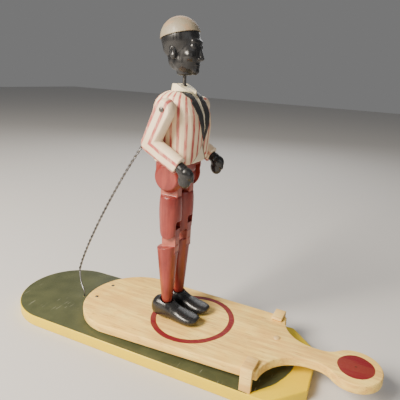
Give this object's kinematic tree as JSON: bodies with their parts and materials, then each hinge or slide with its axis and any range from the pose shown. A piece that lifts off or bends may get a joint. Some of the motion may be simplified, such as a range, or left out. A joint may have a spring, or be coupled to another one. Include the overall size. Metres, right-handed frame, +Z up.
{
  "type": "wooden dancing figure toy",
  "caption": "Jointed wooden dancing figure hung on a bent twisted wire over a hinged, sprung tapping paddle on a flat base; tapping the paddle makes the loose legs dance.",
  "frame": {"origin": "on the underside of the base board, straight below the middle of the painted ring on the paddle", "axes": "+X along the paddle to its handle, which is the way the figure faces; +Y to the figure's left; +Z up"},
  "size_m": [0.4064, 0.1305, 0.3237],
  "materials": {
    "base_paint": "matt olive green paint on a wooden board, yellow edges, scuffed",
    "paddle_wood": "pale painted and varnished wood with open grain",
    "brick_paint": "semi-gloss brick red paint on turned wood",
    "jacket_paint": "cream paint with dull red stripes",
    "collar_paint": "cream paint",
    "black_gloss": "gloss black enamel on carved wood",
    "cap_paint": "cream and brown streaked paint",
    "bare_wood": "bare hardwood",
    "wire_steel": "twisted steel wire, slightly dulled",
    "fastener_steel": "plain steel, tarnished",
    "spring_steel": "drawn spring wire"
  },
  "bodies": {
    "stand": {"base_board": "base_paint", "hinge_leaf_lower": "fastener_steel", "hinge_pin": "fastener_steel", "hinge_screws": "fastener_steel", "hook_right": "paddle_wood", "hook_left": "paddle_wood", "hook_nails": "fastener_steel", "return_spring": "spring_steel", "support_wire": "wire_steel", "torso": "jacket_paint", "collar": "collar_paint", "pelvis": "brick_paint", "waist_dowel": "bare_wood", "hip_pin": "fastener_steel", "neck_wire": "wire_steel", "shoulder_nails": "fastener_steel"},
    "paddle": {"paddle_board": "paddle_wood", "hinge_leaf_upper": "fastener_steel", "hinge_rivets": "fastener_steel", "spring_screw": "fastener_steel"},
    "head": {"head": "black_gloss", "cap": "cap_paint"},
    "arm_right": {"sleeve_right": "jacket_paint", "hand_right": "black_gloss", "wrist_peg_right": "bare_wood"},
    "arm_left": {"sleeve_left": "jacket_paint", "hand_left": "black_gloss", "wrist_peg_left": "bare_wood"},
    "thigh_right": {"thigh_right": "brick_paint", "knee_pin_right": "fastener_steel"},
    "thigh_left": {"thigh_left": "brick_paint", "knee_pin_left": "fastener_steel"},
    "shin_right": {"shin_right": "brick_paint", "ankle_peg_right": "bare_wood", "shoe_right": "black_gloss"},
    "shin_left": {"shin_left": "brick_paint", "ankle_peg_left": "bare_wood", "shoe_left": "black_gloss"}
  },
  "joints": [
    {"name": "paddle_hinge", "type": "hinge", "parent": "stand", "child": "paddle", "pos_m": [-0.126, 0, 0.01323], "axis": [0, 1, 0], "range_deg": [0, 2.4], "stiffness_Nm_per_rad": 18, "springref_deg": -1.72, "deforming": ["return_spring"]},
    {"name": "head_swivel", "type": "hinge", "parent": "stand", "child": "head", "pos_m": [-0.021, 0, 0.26858], "axis": [0, 0, 1], "continuous": true},
    {"name": "shoulder_right", "type": "hinge", "parent": "stand", "child": "arm_right", "pos_m": [-0.02, -0.0268, 0.24557], "axis": [0, 1, 0], "continuous": true},
    {"name": "shoulder_left", "type": "hinge", "parent": "stand", "child": "arm_left", "pos_m": [-0.02, 0.0268, 0.24557], "axis": [0, 1, 0], "continuous": true},
    {"name": "hip_right", "type": "hinge", "parent": "stand", "child": "thigh_right", "pos_m": [-0.024, -0.012, 0.18207], "axis": [0, 1, 0], "range_deg": [-80, 45]},
    {"name": "hip_left", "type": "hinge", "parent": "stand", "child": "thigh_left", "pos_m": [-0.024, 0.012, 0.18207], "axis": [0, 1, 0], "range_deg": [-80, 45]},
    {"name": "knee_right", "type": "hinge", "parent": "thigh_right", "child": "shin_right", "pos_m": [-0.023, -0.012, 0.13007], "axis": [0, 1, 0], "range_deg": [0, 92]},
    {"name": "knee_left", "type": "hinge", "parent": "thigh_left", "child": "shin_left", "pos_m": [-0.023, 0.012, 0.13007], "axis": [0, 1, 0], "range_deg": [0, 92]}
  ]
}
